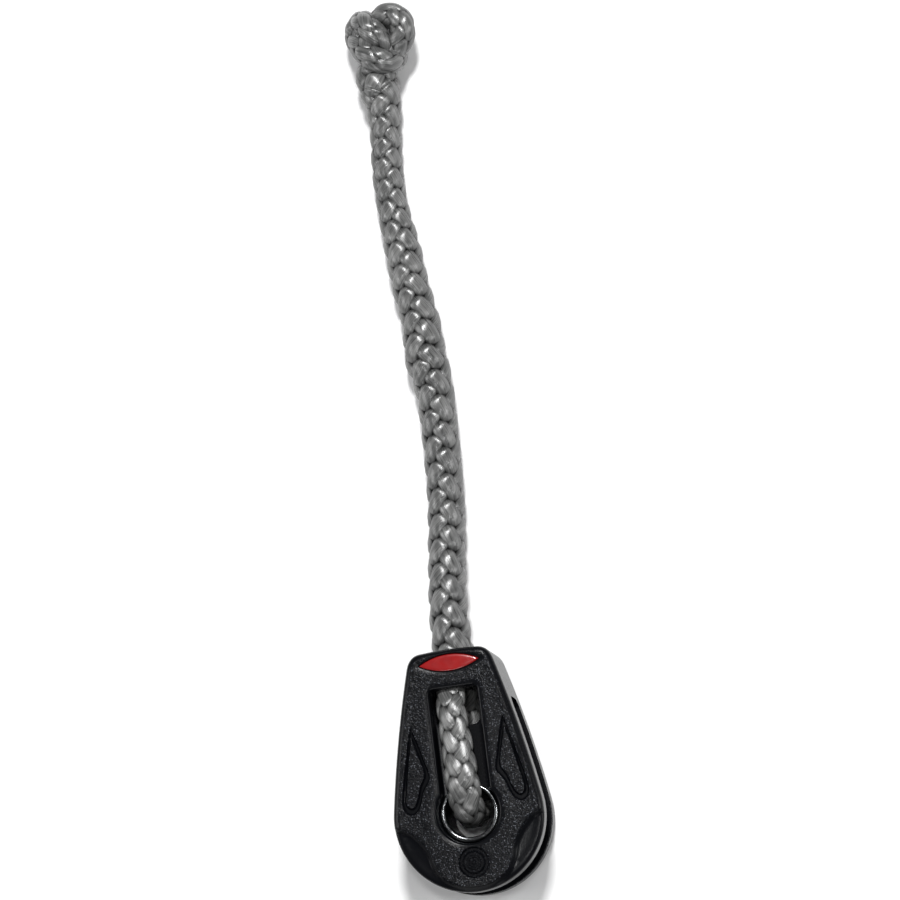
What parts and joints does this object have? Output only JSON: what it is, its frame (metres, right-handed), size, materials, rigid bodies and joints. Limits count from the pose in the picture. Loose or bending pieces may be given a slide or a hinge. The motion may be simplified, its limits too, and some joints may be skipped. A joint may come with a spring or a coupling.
{
  "type": "ball bearing block with tie-on strop",
  "caption": "Small single sailing block: a grooved sheave on balls round a hollow steel hub between two moulded cheeks, tied on by a braided strop that ends in a stopper knot.",
  "frame": {"origin": "centre of the block's footprint, on the surface that its rear cheek lies on", "axes": "+Z along the sheave axis from the rear cheek to the front cheek, +Y from the hub to the head where the strop leaves, +X across the cheek"},
  "size_m": [0.024, 0.1487, 0.015],
  "materials": {
    "cheek_plastic": "glass-filled black nylon, fine spark-eroded grain",
    "sheave_plastic": "black acetal, turned",
    "hub_steel": "polished stainless, rolled ends",
    "ball_plastic": "natural acetal",
    "badge_red": "glossy red",
    "rope_fibre": "silver-grey braided fibre, satin"
  },
  "bodies": {
    "block": {"cheek_front": "cheek_plastic", "cheek_rear": "cheek_plastic", "hub_tube": "hub_steel", "badge_front": "badge_red", "badge_rear": "badge_red", "strop_eye": "rope_fibre", "strop": "rope_fibre", "strop_knot": "rope_fibre"},
    "sheave": {"sheave": "sheave_plastic"},
    "ball_row_a": {"ball_a_01": "ball_plastic", "ball_a_02": "ball_plastic", "ball_a_03": "ball_plastic", "ball_a_04": "ball_plastic", "ball_a_05": "ball_plastic", "ball_a_06": "ball_plastic", "ball_a_07": "ball_plastic", "ball_a_08": "ball_plastic", "ball_a_09": "ball_plastic", "ball_a_10": "ball_plastic", "ball_a_11": "ball_plastic", "ball_a_12": "ball_plastic", "ball_a_13": "ball_plastic", "ball_a_14": "ball_plastic", "ball_a_15": "ball_plastic", "ball_a_16": "ball_plastic"},
    "ball_row_b": {"ball_b_01": "ball_plastic", "ball_b_02": "ball_plastic", "ball_b_03": "ball_plastic", "ball_b_04": "ball_plastic", "ball_b_05": "ball_plastic", "ball_b_06": "ball_plastic", "ball_b_07": "ball_plastic", "ball_b_08": "ball_plastic", "ball_b_09": "ball_plastic", "ball_b_10": "ball_plastic", "ball_b_11": "ball_plastic", "ball_b_12": "ball_plastic", "ball_b_13": "ball_plastic", "ball_b_14": "ball_plastic", "ball_b_15": "ball_plastic", "ball_b_16": "ball_plastic"}
  },
  "joints": [
    {"name": "sheave_spin", "type": "hinge", "parent": "block", "child": "sheave", "pos_m": [0, -0.0067, 0.0068], "axis": [0, 0, 1], "continuous": true},
    {"name": "ball_row_a_orbit", "type": "hinge", "parent": "block", "child": "ball_row_a", "pos_m": [0, -0.0067, 0.00825], "axis": [0, 0, 1], "continuous": true},
    {"name": "ball_row_b_orbit", "type": "hinge", "parent": "block", "child": "ball_row_b", "pos_m": [0, -0.0067, 0.00535], "axis": [0, 0, 1], "continuous": true}
  ],
  "couplings": [
    {"joint": "ball_row_a_orbit", "follows": "sheave_spin", "ratio": 0.5953},
    {"joint": "ball_row_b_orbit", "follows": "sheave_spin", "ratio": 0.5953}
  ]
}
